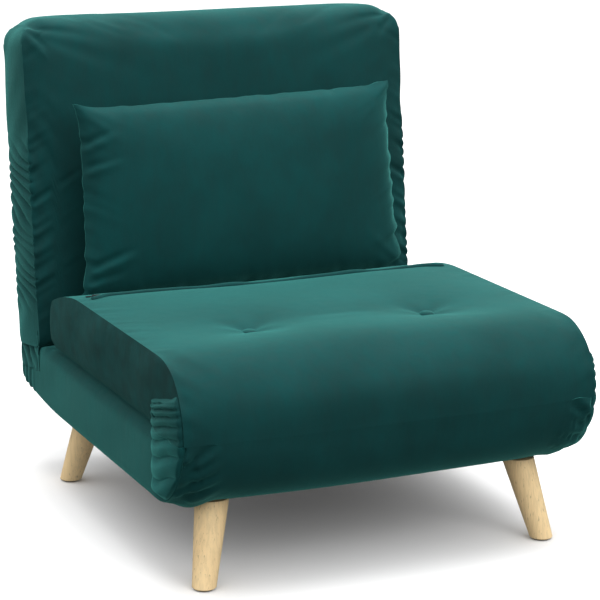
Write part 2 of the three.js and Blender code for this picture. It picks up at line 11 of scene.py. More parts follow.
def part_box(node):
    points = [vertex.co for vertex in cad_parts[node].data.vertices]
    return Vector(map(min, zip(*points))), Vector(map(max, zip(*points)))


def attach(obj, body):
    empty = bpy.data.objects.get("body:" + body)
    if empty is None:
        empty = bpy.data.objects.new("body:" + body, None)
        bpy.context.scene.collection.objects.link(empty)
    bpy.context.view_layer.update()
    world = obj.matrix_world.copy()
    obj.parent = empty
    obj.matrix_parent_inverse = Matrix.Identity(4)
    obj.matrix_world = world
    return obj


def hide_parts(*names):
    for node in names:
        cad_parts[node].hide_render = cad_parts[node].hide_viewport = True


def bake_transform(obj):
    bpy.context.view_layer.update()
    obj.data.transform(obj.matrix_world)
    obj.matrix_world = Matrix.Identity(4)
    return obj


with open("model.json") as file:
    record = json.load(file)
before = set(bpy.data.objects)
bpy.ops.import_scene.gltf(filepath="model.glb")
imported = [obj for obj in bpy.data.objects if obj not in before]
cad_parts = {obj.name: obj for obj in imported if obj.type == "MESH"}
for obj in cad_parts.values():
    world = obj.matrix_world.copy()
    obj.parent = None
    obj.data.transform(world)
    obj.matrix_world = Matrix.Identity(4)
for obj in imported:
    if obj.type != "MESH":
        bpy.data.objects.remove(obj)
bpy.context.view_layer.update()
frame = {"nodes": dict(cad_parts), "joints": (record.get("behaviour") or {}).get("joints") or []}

# ---------------------------------------------------------------- sizes, in metres, from the frame

seat_low, seat_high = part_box("seat_cover")
base_low, base_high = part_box("base_cover")
flap_low, flap_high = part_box("foot_flap")
plate_low, plate_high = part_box("recline_plate_right")
joints = {j["name"]: j for j in frame["joints"]}

HALF_WIDTH = seat_high.x
CREASE = (base_high.z + seat_low.z) / 2
SEAT_TOP = seat_high.z
NOSE_OVERHANG = 0.0165
NOSE_Y = seat_low.y - NOSE_OVERHANG
NOSE_DEPTH = 0.111
NOSE_START = NOSE_Y + NOSE_DEPTH
EAR_INNER = plate_low.x - 0.004
EAR_REAR = plate_high.y - 0.004
MIDDLE_REAR = base_high.y - 0.002

BACK_PIVOT = Vector(joints["back_recline"]["pos_m"])
BACK_UP = Vector(joints["pillow_lift"]["axis"]).normalized()
BACK_REARWARD = Vector((0, BACK_UP.z, -BACK_UP.y))
BACK_LENGTH = 0.625
BACK_LOWER_END = -0.033
BACK_FRONT = -0.083
BACK_REAR = 0.034


def in_back(x, rearward, up):
    """Frame points from places measured across, through and up the backrest."""
    origin, rear_axis, up_axis = (np.array(a) for a in (BACK_PIVOT, BACK_REARWARD, BACK_UP))
    points = origin + np.multiply.outer(rearward, rear_axis) + np.multiply.outer(up, up_axis)
    points[..., 0] = x
    return points


# ---------------------------------------------------------------- waves and folds

def smooth(t):
    t = np.clip(t, 0, 1)
    return t * t * (3 - 2 * t)


def ripple(t, seed):
    """An irregular smooth wave between about -1 and 1."""
    phases = np.random.default_rng(seed).uniform(0, 2 * np.pi, 4)
    rates = (1, 1.618, 0.731, 2.414)
    weights = (1, 0.7, 0.6, 0.35)
    waves = [a * np.sin(r * t + p) for a, r, p in zip(weights, rates, phases)]
    return sum(waves) / 1.7


def gather(along, away, spacing, depth, reach, slant=0.0, seed=1):
    """Folds that start at a seam and fade with the distance away from it."""
    t = (along + slant * away) / spacing * 2 * np.pi
    wave = ripple(t, seed)
    length = reach * (0.65 + 0.35 * ripple(t * 0.31, seed + 50))
    return depth * wave * np.exp(-np.maximum(away, 0) / np.maximum(length, 0.15 * reach))


def crease(points, start, end, width, depth):
    """A fold from start to end: a narrow valley with a soft ridge beside it, tapered at its far end."""
    start, end = np.array(start), np.array(end)
    line = end - start
    length = np.linalg.norm(line)
    t = (points - start) @ line / length ** 2
    side = points - start - np.outer(t, line)
    across = np.cross(line / length, side)
    sign = np.sign(across @ np.array((1.0, 1.0, 1.0)))
    offset = np.linalg.norm(side, axis=1) * sign
    fade = smooth(t / 0.15 + 0.5) * (1 - smooth((t - 0.35) / 0.65))
    valley = np.exp(-(offset / width) ** 2)
    ridge = 0.7 * np.exp(-((offset - 1.9 * width) / (1.2 * width)) ** 2)
    return -depth * fade * (valley - ridge)


def pleat(t):
    """Round folds with sharp valleys between them."""
    return np.abs(np.sin(np.pi * t)) ** 0.6


# ---------------------------------------------------------------- meshes

def box_surface(shape):
    """The grid places and outward quads of the surface of a box of cells."""
    ids = np.arange(np.prod([n + 1 for n in shape])).reshape([n + 1 for n in shape])

    def quads(layer, flip):
        corners = (layer[:-1, :-1], layer[1:, :-1], layer[1:, 1:], layer[:-1, 1:])
        faces = np.stack(corners, -1).reshape(-1, 4)
        return faces[:, ::-1] if flip else faces

    faces = np.concatenate([
        quads(ids[0], True), quads(ids[-1], False),
        quads(ids[:, 0], False), quads(ids[:, -1], True),
        quads(ids[:, :, 0], True), quads(ids[:, :, -1], False),
    ])
    used, faces = np.unique(faces, return_inverse=True)
    return np.unravel_index(used, ids.shape), faces.reshape(-1, 4)


def set_point_values(mesh, name, values):
    attribute = mesh.attributes.get(name) or mesh.attributes.new(name, "FLOAT", "POINT")
    attribute.data.foreach_set("value", values.astype(np.float32))


def point_values(mesh, name):
    values = np.zeros(len(mesh.vertices), np.float32)
    mesh.attributes[name].data.foreach_get("value", values)
    return values.astype(float)


def coordinates(mesh):
    co = np.zeros(len(mesh.vertices) * 3, np.float32)
    mesh.vertices.foreach_get("co", co)
    return co.reshape(-1, 3).astype(float)


def normals(mesh):
    out = np.zeros(len(mesh.vertices) * 3, np.float32)
    mesh.vertex_normals.foreach_get("vector", out)
    return out.reshape(-1, 3).astype(float)


def move_points(mesh, co):
    mesh.vertices.foreach_set("co", co.astype(np.float32).ravel())
    mesh.update()


def grid_piece(name, xs, vs, ws, place, seam_axes="x", front_edge=None):
    """A closed piece on a box grid, with place(x, v, w) giving frame points.
    The box's edges on the sides named in seam_axes are seams, and so is its front edge at w front_edge."""
    (i, j, k), faces = box_surface((len(xs) - 1, len(vs) - 1, len(ws) - 1))
    x, v, w = np.array(xs)[i], np.array(vs)[j], np.array(ws)[k]
    points = place(x, v, w)
    mesh = bpy.data.meshes.new(name)
    mesh.from_pydata(points.tolist(), [], faces.tolist())
    ends = {
        "x": (i == 0) | (i == len(xs) - 1),
        "v": (j == 0) | (j == len(vs) - 1),
        "w": (k == 0) | (k == len(ws) - 1),
    }
    count = sum(ends[a].astype(int) for a in "xvw")
    seam = np.zeros(len(x))
    for a in seam_axes:
        seam[ends[a] & (count >= 2)] = 1
    if front_edge is not None:
        seam[(j == 0) & (w == front_edge)] = 1
    for key, values in (("grid_x", x), ("grid_v", v), ("grid_w", w), ("seam", seam)):
        set_point_values(mesh, key, values)
    mesh.polygons.foreach_set("use_smooth", [True] * len(faces))
    piece = bpy.data.objects.new(name, mesh)
    bpy.context.scene.collection.objects.link(piece)
    return piece


def seam_edges(mesh):
    seam = point_values(mesh, "seam") > 0.99
    pairs = np.zeros(len(mesh.edges) * 2, np.int32)
    mesh.edges.foreach_get("vertices", pairs)
    pairs = pairs.reshape(-1, 2)
    return seam[pairs[:, 0]] & seam[pairs[:, 1]]


def sharpen(mesh, name="sharp_edge", kind="BOOLEAN"):
    attribute = mesh.attributes.get(name) or mesh.attributes.new(name, kind, "EDGE")
    attribute.data.foreach_set("value", seam_edges(mesh))


def refine(piece):
    """One subdivision, with the seams kept sharp."""
    sharpen(piece.data, "crease_edge", "FLOAT")
    subdivision = piece.modifiers.new("subdivision", "SUBSURF")
    subdivision.levels = subdivision.render_levels = 1
    subdivision.boundary_smooth = "PRESERVE_CORNERS"
    bake(piece)
    sharpen(piece.data)


def bake(piece):
    """Applies the piece's modifiers."""
    graph = bpy.context.evaluated_depsgraph_get()
    shown = piece.evaluated_get(graph)
    mesh = bpy.data.meshes.new_from_object(shown, depsgraph=graph, preserve_all_data_layers=True)
    mesh.name = piece.name
    piece.modifiers.clear()
    piece.data = mesh


def puff(piece, free, pressure, cap, frames=20, stiffness=15.0):
    """Swells the piece as cloth under pressure, with each point free to move by its share of at most cap."""
    scene = bpy.context.scene
    start = coordinates(piece.data)
    group = piece.vertex_groups.new(name="held")
    for index in np.flatnonzero(free < 1):
        group.add([int(index)], 1 - float(free[index]), "REPLACE")
    cloth = piece.modifiers.new("cloth", "CLOTH")
    settings = cloth.settings
    settings.quality = 5
    settings.mass = 0.3
    settings.tension_stiffness = settings.compression_stiffness = stiffness
    settings.shear_stiffness = 5
    settings.bending_stiffness = 0.5
    settings.use_pressure = True
    settings.uniform_pressure_force = pressure
    settings.vertex_group_mass = "held"
    settings.effector_weights.gravity = 0
    cloth.point_cache.frame_start, cloth.point_cache.frame_end = 1, frames
    for number in range(1, frames + 1):
        scene.frame_set(number)
    graph = bpy.context.evaluated_depsgraph_get()
    moved = coordinates(piece.evaluated_get(graph).data)
    piece.modifiers.clear()
    piece.vertex_groups.clear()
    scene.frame_set(1)
    shift = moved - start
    size = np.linalg.norm(shift, axis=1, keepdims=True)
    shift *= cap * np.tanh(size / cap) / np.maximum(size, 1e-9)
    move_points(piece.data, start + shift * free[:, None])


def tidy_attributes(piece):
    for key in ("grid_x", "grid_v", "grid_w", "seam", "crease_edge"):
        attribute = piece.data.attributes.get(key)
        if attribute:
            piece.data.attributes.remove(attribute)


def spread(*stops):
    """Grid lines through the stops, given as place, number of cells, place, and so on."""
    lines = [np.array([stops[0]])]
    for start, cells, end in zip(stops[0:-2:2], stops[1:-1:2], stops[2::2]):
        lines.append(np.linspace(start, end, cells + 1)[1:])
    return np.concatenate(lines)


def coons(v, w, bottom, top, front, rear):
    """Points of a section stretched between its four edge curves."""
    zero, one = np.zeros_like(v), np.ones_like(v)
    v2, w2 = v[:, None], w[:, None]
    edges = (1 - w2) * bottom(v) + w2 * top(v) + (1 - v2) * front(w) + v2 * rear(w)
    corners = (
        (1 - v2) * (1 - w2) * bottom(zero) + (1 - v2) * w2 * top(zero)
        + v2 * (1 - w2) * bottom(one) + v2 * w2 * top(one)
    )
    return edges - corners


def section(y, z):
    return np.stack(np.broadcast_arrays(y, z), -1)


# ---------------------------------------------------------------- seat and base: one D-shaped front

def nose(height, power, t):
    """The rounded front from the crease (t 0) to the flat (t 1)."""
    angle = t * np.pi / 2
    y = NOSE_START - NOSE_DEPTH * np.cos(angle) ** (2 / power)
    return section(y, CREASE + height * np.sin(angle) ** (2 / power))


SEAT_HEIGHT = SEAT_TOP + 0.0005 - CREASE
BASE_HEIGHT = CREASE - base_low.z - 0.0005
SEAT_ROUND = 2.25
BASE_ROUND = 1.8
SEAT_REAR_Y = seat_high.y - 0.014
CROWN = 0.008
SIDE_BULGE = 0.006
REAR_BULGE = 0.016
FOLD_DIP, FOLD_DIP_AT, FOLD_DIP_REACH = 0.008, 0.028, 0.012


def seat_height(y):
    """The seat's top along its side seams."""
    return CREASE + SEAT_HEIGHT - 1.35 * np.maximum(0, y - 0.03) ** 2


def fold_dip(y):
    """How far each section's face draws back from the crease just behind the front fold."""
    dip = FOLD_DIP * np.exp(-((y - NOSE_Y - FOLD_DIP_AT) / FOLD_DIP_REACH) ** 2)
    return dip + 0.0006 * smooth((y - NOSE_Y) / 0.02)


def crowned(x, yz):
    """Swells the rounded front outwards between the side seams."""
    y, z = yz[:, 0], yz[:, 1]
    out = section(np.minimum(0, y - NOSE_START), z - CREASE)
    out /= np.maximum(np.linalg.norm(out, axis=1, keepdims=True), 1e-9)
    size = CROWN * (1 - (np.abs(x) / HALF_WIDTH) ** 3.5) * smooth((NOSE_START - y) / NOSE_DEPTH)
    return yz + out * size[:, None]


def groove(x, yz, depth, height):
    """Draws the side edge in where the two sections meet, behind the front webs."""
    near = 1 - smooth(np.abs(yz[:, 1] - CREASE) / height)
    return x * (1 - depth / HALF_WIDTH * near * smooth((yz[:, 0] - NOSE_START) / 0.03))


def seat_place(x, v, w):
    end_z = seat_height(SEAT_REAR_Y)

    def bottom(t):
        y = NOSE_Y + (SEAT_REAR_Y - NOSE_Y) * t
        return section(y, CREASE + fold_dip(y))

    def top(t):
        y = NOSE_START + (SEAT_REAR_Y - NOSE_START) * t
        return section(y, seat_height(y))

    def front(t):
        return nose(SEAT_HEIGHT, SEAT_ROUND, t)

    def rear(t):
        low = CREASE + fold_dip(SEAT_REAR_Y)
        return section(SEAT_REAR_Y + REAR_BULGE * np.sin(np.pi * t) ** 0.7, low + (end_z - low) * t)

    yz = crowned(x, coons(v, w, bottom, top, front, rear))
    on_side = np.isclose(np.abs(x), HALF_WIDTH)
    bulge = SIDE_BULGE * on_side * np.sin(np.pi * np.clip(w, 0, 1)) * np.sin(np.pi * v) ** 0.5
    return np.column_stack([groove(x + np.sign(x) * bulge, yz, 0.005, 0.014), yz])


def base_place(x, v, w):
    ear = smooth((np.abs(x) - EAR_INNER) / 0.0024)
    rear_y = MIDDLE_REAR + (EAR_REAR - MIDDLE_REAR) * ear
    fullness = BASE_ROUND + 0.7 * (1 - (np.abs(x) / HALF_WIDTH) ** 6)

    def bottom(t):
        y = NOSE_START + (rear_y - NOSE_START) * t
        return section(y, CREASE - BASE_HEIGHT + 0.42 * np.maximum(0, y - 0.14) ** 2)

    def top(t):
        y = NOSE_Y + (rear_y - 0.012 * ear - NOSE_Y) * t
        return section(y, CREASE - fold_dip(y) - 0.3 * ear * np.maximum(0, y - 0.2))

    def front(t):
        return nose(-BASE_HEIGHT, fullness, 1 - t)

    def rear(t):
        low, high = bottom(np.ones_like(t)), top(np.ones_like(t))
        y = low[:, 0] + (high[:, 0] - low[:, 0]) * t + ear * 0.014 * np.sin(np.pi * t) ** 0.8
        return section(y, low[:, 1] + (high[:, 1] - low[:, 1]) * t)

    yz = crowned(x, coons(v, w, bottom, top, front, rear))
    on_side = np.isclose(np.abs(x), HALF_WIDTH)
    bulge = SIDE_BULGE * on_side * np.sin(np.pi * np.clip(w, 0, 1)) ** 0.7 * np.sin(np.pi * v) ** 0.5
    return np.column_stack([groove(x + np.sign(x) * bulge, yz, 0.009, 0.022), yz])


RECESS_GAP = 0.0015
FLAP_X = flap_high.x + RECESS_GAP
FLAP_FRONT = flap_low.y - RECESS_GAP
FLAP_REAR = SEAT_REAR_Y - 0.004
RECESS_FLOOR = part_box("foot_sleeve_left")[0].z - 0.002


def seat_lines():
    """Rows of the seat's grid from front to rear, with close pairs at the edges of the foot's recess."""
    run = SEAT_REAR_Y - NOSE_START
    first, last = (FLAP_FRONT - NOSE_START) / run, (FLAP_REAR - NOSE_START) / run
    step = 0.0016 / run
    return spread(0.0, 40, first - step, 1, first, 13, last, 1, last + step, 1, 1.0)


xs_seat = spread(-HALF_WIDTH, 5, -FLAP_X - 0.0016, 1, -FLAP_X, 66, FLAP_X, 1, FLAP_X + 0.0016, 5, HALF_WIDTH)
seat = grid_piece("seat_cushion", xs_seat, seat_lines(), spread(0, 14, 1.0), seat_place, front_edge=0)
mesh = seat.data
x, v, w = (point_values(mesh, k) for k in ("grid_x", "grid_v", "grid_w"))
co = coordinates(mesh)

buttons = {side: sum(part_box(f"button_{side}"), Vector()) / 2 for side in ("left", "right")}
button_radius = (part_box("button_left")[1].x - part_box("button_left")[0].x) / 2
DIMPLE_DEPTH, DIMPLE_RADIUS = 0.011, 0.026
for centre in buttons.values():
    distance = np.hypot(co[:, 0] - centre.x, co[:, 1] - centre.y)
    top_side = w > 0.99
    co[:, 2] -= top_side * DIMPLE_DEPTH * np.exp(-(distance / DIMPLE_RADIUS) ** 1.4)
move_points(mesh, co)
held = np.ones(len(x))
held[(w < 0.01) | (v > 0.99)] = 0
held[point_values(mesh, "seam") > 0.5] = 0
held *= smooth((co[:, 2] - CREASE - 0.01) / 0.07)
for centre in buttons.values():
    distance = np.hypot(co[:, 0] - centre.x, co[:, 1] - centre.y)
    held[(distance < 0.012) & (w > 0.99)] = 0
SEAT_PRESSURE, SEAT_SWELL = 4.0, 0.012
puff(seat, held, SEAT_PRESSURE, SEAT_SWELL)
refine(seat)


def fold_seat(piece):
    mesh = piece.data
    co, no = coordinates(mesh), normals(mesh)
    x, v, w = (point_values(mesh, k) for k in ("grid_x", "grid_v", "grid_w"))
    y, z = co[:, 1], co[:, 2]
    edge = HALF_WIDTH - np.abs(co[:, 0])
    on_side = np.isclose(np.abs(x), HALF_WIDTH, atol=1e-5)
    on_panel = ~on_side & (w > 0.01) | ((v < 0.01) & ~on_side)
    along = np.where(v < 0.01, z - CREASE, SEAT_HEIGHT + (y - NOSE_START))
    front_share = smooth((-0.30 - y) / 0.1)
    lines = gather(along, edge, 0.045, 0.0016, 0.03, 0.5, 11) * (0.35 + front_share)
    shift = on_panel * lines * smooth((z - CREASE) / 0.02)
    low = smooth(edge / 0.3)
    shift += on_panel * 0.0012 * ripple(co[:, 0] / 0.11 + y / 0.19, 5) * low * smooth((z - CREASE) / 0.05)
    for side, centre in buttons.items():
        flat = co[:, :2] - np.array(centre.xy)
        distance = np.linalg.norm(flat, axis=1)
        angle = np.arctan2(flat[:, 1], flat[:, 0])
        rays = np.cos(4 * angle + 0.6) * np.exp(-((distance - 0.03) / 0.028) ** 2)
        shift += (w > 0.99) * 0.0011 * rays
    side_fold = on_side * 0.0018 * ripple(y / 0.05 + z / 0.08, 21) * np.sin(np.pi * np.clip(w, 0, 1))
    shift += side_fold
    move_points(mesh, co + no * shift[:, None])


fold_seat(seat)

# ---------------------------------------------------------------- the zipped flap over the stowed foot

def surface_height(piece):
    tree = BVHTree.FromObject(piece, bpy.context.evaluated_depsgraph_get())

    def height(px, py):
        hit = tree.ray_cast(Vector((px, py, 1.0)), Vector((0, 0, -1)))
        return hit[0].z

    return height


top_of_seat = surface_height(seat)


def flap_place(x, v, w):
    y = flap_low.y + (FLAP_REAR - 0.001 - flap_low.y) * v
    top = np.array([top_of_seat(px, py) for px, py in zip(x, y)])
    rim = smooth(v / 0.05) * smooth((1 - v) / 0.05) * smooth((flap_high.x - np.abs(x)) / 0.006)
    return np.column_stack([x, y, top - 0.0045 + 0.0045 * w * (0.7 + 0.3 * rim) + 0.0008 * w])


xs_flap = spread(-flap_high.x, 60, flap_high.x)
flap = grid_piece("foot_flap_fabric", xs_flap, spread(0, 14, 1.0), spread(0, 1, 1.0), flap_place, "")


def open_recess(piece):
    """Lowers the seat's surface under the flap to the floor of the foot's recess."""
    mesh = piece.data
    co = coordinates(mesh)
    inside = (np.abs(co[:, 0]) < FLAP_X + 1e-4) & (point_values(mesh, "grid_w") > 0.99)
    inside &= (co[:, 1] > FLAP_FRONT - 1e-4) & (co[:, 1] < FLAP_REAR + 1e-4)
    co[inside, 2] = RECESS_FLOOR
    move_points(mesh, co)


PLACKET_WIDTH, PLACKET_RISE, PLACKET_END = 0.011, 0.0046, 0.028


def placket_place(x, v, w):
    turn = smooth((np.abs(x) - flap_high.x + 0.01) / 0.035)
    centre = flap_low.y - 0.007 + 0.0034 * ripple(x / 0.045, 3) - 0.016 * turn
    y = centre + (v - 0.5) * PLACKET_WIDTH
    top = np.array([top_of_seat(px, py) for px, py in zip(x, y)])
    swell = np.sin(np.pi * np.clip(v, 0.04, 0.96)) ** 0.6
    lift = PLACKET_RISE + 0.0016 * ripple(x / 0.03, 7)
    return np.column_stack([x, y, top - 0.002 + w * (0.002 + lift * swell)])


xs_placket = spread(-flap_high.x - PLACKET_END, 140, flap_high.x + PLACKET_END)
placket = grid_piece("zip_placket", xs_placket, spread(0, 6, 1.0), spread(0, 1, 1.0), placket_place, "")
open_recess(seat)

# ---------------------------------------------------------------- base section

xs_base = spread(
    -HALF_WIDTH, 4, -EAR_INNER - 0.0024, 1, -EAR_INNER, 70, EAR_INNER, 1, EAR_INNER + 0.0024, 4, HALF_WIDTH
)
base = grid_piece("base_cushion", xs_base, spread(0, 70, 1.0), spread(0, 14, 1.0), base_place, front_edge=1)
refine(base)


def on_nose(x, z):
    """The point of the rounded front at a height below the crease."""
    reach = abs(CREASE - z) / BASE_HEIGHT
    return np.array((x, NOSE_START - NOSE_DEPTH * (1 - reach ** BASE_ROUND) ** (1 / BASE_ROUND), z))


# How far the side panels draw in under the seat section.
CREASE_DIP = 0.009

# The front panel's lower edge hangs a little near the front legs.
SAG_X, SAG = 0.312, 0.010
BASE_LOW = base_low.z

# Short folds that run inwards from the front panel's side seams.
CORNER_CREASES, CORNER_CREASE_STEP = 4, 0.021
CORNER_CREASE_WIDTH, CORNER_CREASE_DEPTH = 0.006, 0.0065


def fold_base(piece):
    mesh = piece.data
    co, no = coordinates(mesh), normals(mesh)
    x, v, w = (point_values(mesh, k) for k in ("grid_x", "grid_v", "grid_w"))
    y, z = co[:, 1], co[:, 2]
    edge = HALF_WIDTH - np.abs(co[:, 0])
    on_side = np.isclose(np.abs(x), HALF_WIDTH, atol=1e-5)
    on_front = (v < 0.01) & ~on_side
    seam_fold = gather(z, edge, 0.036, 0.0042, 0.042, -0.55, 31)
    low_part = smooth((CREASE - 0.004 - z) / 0.02)
    shift = on_front * seam_fold * low_part
    shift += on_front * 0.001 * ripple(co[:, 0] / 0.13 + z / 0.1, 8) * low_part
    for side in (-1, 1):
        for number in range(CORNER_CREASES):
            height = CREASE - 0.022 - CORNER_CREASE_STEP * number
            start = on_nose(side * (HALF_WIDTH - 0.015), height)
            end = on_nose(side * (HALF_WIDTH - 0.060 - 0.006 * number), height + 0.026)
            shift += on_front * crease(co, start, end, CORNER_CREASE_WIDTH, CORNER_CREASE_DEPTH)
    at_crease = np.exp(-((z - CREASE) / 0.014) ** 2)
    shift -= on_side * CREASE_DIP * at_crease * smooth((MIDDLE_REAR - y) / 0.02)
    rear_end = smooth((y - 0.27) / 0.05)
    shift += on_side * rear_end * 0.0045 * (pleat(y / 0.022 + 0.8 * z / 0.1) - 0.5)
    inner = np.sin(np.pi * np.clip(w, 0, 1))
    shift += on_side * (1 - rear_end) * 0.0012 * ripple(y / 0.07 + z / 0.05, 27) * inner
    sag = np.exp(-((np.abs(co[:, 0]) - SAG_X) / 0.022) ** 2) * smooth((BASE_LOW + 0.04 - z) / 0.04)
    sag *= smooth((NOSE_START + 0.035 - y) / 0.02) * np.where(co[:, 0] < 0, SAG, 0.3 * SAG)
    moved = co + no * shift[:, None]
    moved[:, 2] -= sag
    move_points(mesh, moved)


fold_base(base)

# ---------------------------------------------------------------- pleated webs across the front fold

WEB_REAR = NOSE_START + 0.012
WEB_TOP = CREASE + 0.046
WEB_RISE = 0.026
WEB_LOW = CREASE - 0.103
PLEAT_START = CREASE + 0.044
PLEAT_DEPTH = 0.0075
WEB_INSET, WEB_STANDS_OUT = 0.006, 0.002


def web_place(side, low, high):
    """A pleated band on the side: x from inner to outer face, v from rear edge to front seam."""
    def place(x, v, w):
        rise = WEB_RISE * v
        z = low + (high + rise * (high > CREASE) - low) * w
        up = z >= CREASE
        height = np.where(up, SEAT_HEIGHT, BASE_HEIGHT)
        power = np.where(up, SEAT_ROUND, BASE_ROUND)
        reach = np.clip(np.abs(z - CREASE) / height, 0, 1)
        front = NOSE_START - NOSE_DEPTH * (1 - reach ** power) ** (1 / power)
        y = WEB_REAR + (front + 0.0025 - WEB_REAR) * v
        swell = np.sin(np.pi * np.clip(0.03 + v * 0.93, 0, 1)) ** 0.4
        ends = smooth((z - WEB_LOW) / 0.014 + 0.25) * smooth((WEB_TOP + rise - z) / 0.012 + 0.15)
        below = np.maximum(PLEAT_START - z - 0.24 * (y - WEB_REAR), -0.012)
        t = 3.7 * np.log(1 + np.maximum(below, -0.012) / 0.022) + 0.1 * ripple(v * 4 + z / 0.09, 13 + side)
        folds = PLEAT_DEPTH * pleat(t)
        out = (0.004 + folds) * swell * ends
        for hole_y, hole_z in ((WEB_REAR - 0.008, WEB_TOP - 0.013), (WEB_REAR - 0.017, WEB_TOP - 0.024)):
            out -= 0.009 * np.exp(-((y - hole_y) / 0.0035) ** 2 - ((z - hole_z) / 0.003) ** 2)
        across = HALF_WIDTH - WEB_INSET + x * (WEB_INSET + WEB_STANDS_OUT + out)
        return np.column_stack([side * across, y, z])

    return place


webs = []
for side, word in ((-1, "left"), (1, "right")):
    for part, low, high, body in (("upper", CREASE, WEB_TOP, "seat"), ("lower", WEB_LOW, CREASE, "base")):
        cells = int((high - low) / 0.0016)
        place = web_place(side, low, high)
        web = grid_piece(
            f"web_{part}_{word}", spread(0, 1, 1.0), spread(0, 30, 1.0), spread(0, cells, 1.0), place, ""
        )
        if side < 0:
            web.data.flip_normals()
        webs.append((web, body))

# ---------------------------------------------------------------- backrest

BACK_HALF = HALF_WIDTH + 0.010
BACK_SHIFT = 0.006
BACK_CORNER = 0.05
BACK_TOP_ROUND = 0.042
BACK_NOTCH = 0.085


def round_corner(x, up, radius):
    """Rounds the two upper corners of the backrest's outline."""
    side, height = np.abs(x) - (BACK_HALF - radius), up - (BACK_LENGTH - radius)
    corner = (side > 0) & (height > 0)
    a, b = np.where(corner, side / radius, 0), np.where(corner, height / radius, 0)
    far = np.maximum(np.maximum(a, b), 1e-9)
    scale = np.where(corner, far / np.maximum(np.hypot(a, b), 1e-9), 1)
    x = np.where(corner, np.sign(x) * (BACK_HALF - radius + side * scale), x)
    up = np.where(corner, BACK_LENGTH - radius + height * scale, up)
    return x, up


def back_place(x, v, w):
    """v runs from the front face to the rear face, and w from the lower end to the top."""
    middle = (BACK_FRONT + BACK_REAR) / 2
    half = (BACK_REAR - BACK_FRONT) / 2
    lower_end = BACK_LOWER_END + BACK_NOTCH * smooth((np.abs(x) - EAR_INNER) / 0.004)
    up = lower_end + (BACK_LENGTH - lower_end) * w
    through = middle + half * (2 * v - 1)
    for end, sign, radius in ((BACK_LENGTH, 1, BACK_TOP_ROUND), (lower_end, -1, 0.02)):
        s, h = np.abs(through - middle) - (half - radius), radius - sign * (end - up)
        corner = (s > 0) & (h > 0)
        scale = np.where(corner, np.maximum(s, h) / np.maximum(np.hypot(s, h), 1e-9), 1)
        through = np.where(corner, middle + np.sign(through - middle) * (half - radius + s * scale), through)
        up = np.where(corner, end - sign * (radius - h * scale), up)
    x2, up = round_corner(x, up, BACK_CORNER)
    on_side = np.isclose(np.abs(x), BACK_HALF)
    bulge = 0.004 * on_side * np.sin(np.pi * v) ** 0.7
    return in_back(x2 + np.sign(x) * bulge + BACK_SHIFT, through, up)


xs_back = spread(
    -BACK_HALF, 5, -EAR_INNER - 0.004, 1, -EAR_INNER, 66, EAR_INNER, 1, EAR_INNER + 0.004, 5, BACK_HALF
)
ws_back = spread(0, 3, 0.03, 80, 0.66, 26, 0.935, 7, 1.0)
back = grid_piece("back_cushion", xs_back, spread(0, 14, 1.0), ws_back, back_place)
mesh = back.data
x, v, w = (point_values(mesh, k) for k in ("grid_x", "grid_v", "grid_w"))
held = np.ones(len(x))
held[point_values(mesh, "seam") > 0.5] = 0
set_point_values(mesh, "seam", point_values(mesh, "seam") * (w < 0.93))
held[(w < 0.01)] = 0
held *= np.where(v > 0.99, 0.5, 1.0)
BACK_PRESSURE, BACK_SWELL = 3.5, 0.014
puff(back, held, BACK_PRESSURE, BACK_SWELL)
refine(back)


RUCHE_DEPTH, RUCHE_SPACING = 0.0065, 0.021


def fold_back(piece):
    mesh = piece.data
    co, no = coordinates(mesh), normals(mesh)
    x, v, w = (point_values(mesh, k) for k in ("grid_x", "grid_v", "grid_w"))
    up = (co - np.array(BACK_PIVOT)) @ np.array(BACK_UP)
    through = (co - np.array(BACK_PIVOT)) @ np.array(BACK_REARWARD)
    edge = BACK_HALF - np.abs(co[:, 0] - BACK_SHIFT)
    on_side = np.isclose(np.abs(x), BACK_HALF, atol=1e-5)
    ruched = smooth((up - 0.10) / 0.06) * (1 - smooth((up - 0.37) / 0.08))
    slanted = up - 0.35 * (through - BACK_FRONT)
    ruche = pleat(slanted / RUCHE_SPACING + 0.45 * ripple(slanted / 0.025 + through / 0.06, 41)) - 0.55
    shift = on_side * (RUCHE_DEPTH * ruched * ruche * (0.72 + 0.28 * ripple(up / 0.03 + through / 0.05, 43)))
    shift *= np.where(co[:, 0] > 0, 0.6, 1.0)
    shift += on_side * (1 - ruched) * 0.0015 * ripple(up / 0.03 + through / 0.03, 47)
    face = ~on_side
    shift += face * gather(up, edge, 0.04, 0.0026, 0.035, -0.6, 51) * (0.35 + ruched)
    shift += face * 0.0012 * ripple(co[:, 0] / 0.12, 55) * ripple(up / 0.15, 56)
    for side in (-1, 1):
        corner = in_back(side * (BACK_HALF - 0.012) + BACK_SHIFT, BACK_FRONT, BACK_LENGTH - 0.02)
        inner = in_back(side * (BACK_HALF - 0.06) + BACK_SHIFT, BACK_FRONT, BACK_LENGTH - 0.075)
        shift += face * crease(co, corner, inner, 0.006, 0.003)
    move_points(mesh, co + no * shift[:, None])


fold_back(back)

# ---------------------------------------------------------------- gathered sleeves from base to backrest

SLEEVE_LOW, SLEEVE_HIGH = 0.012, BACK_LOWER_END + BACK_NOTCH + 0.03
SLEEVE_SPACING, SLEEVE_DEPTH = 0.029, 0.0045


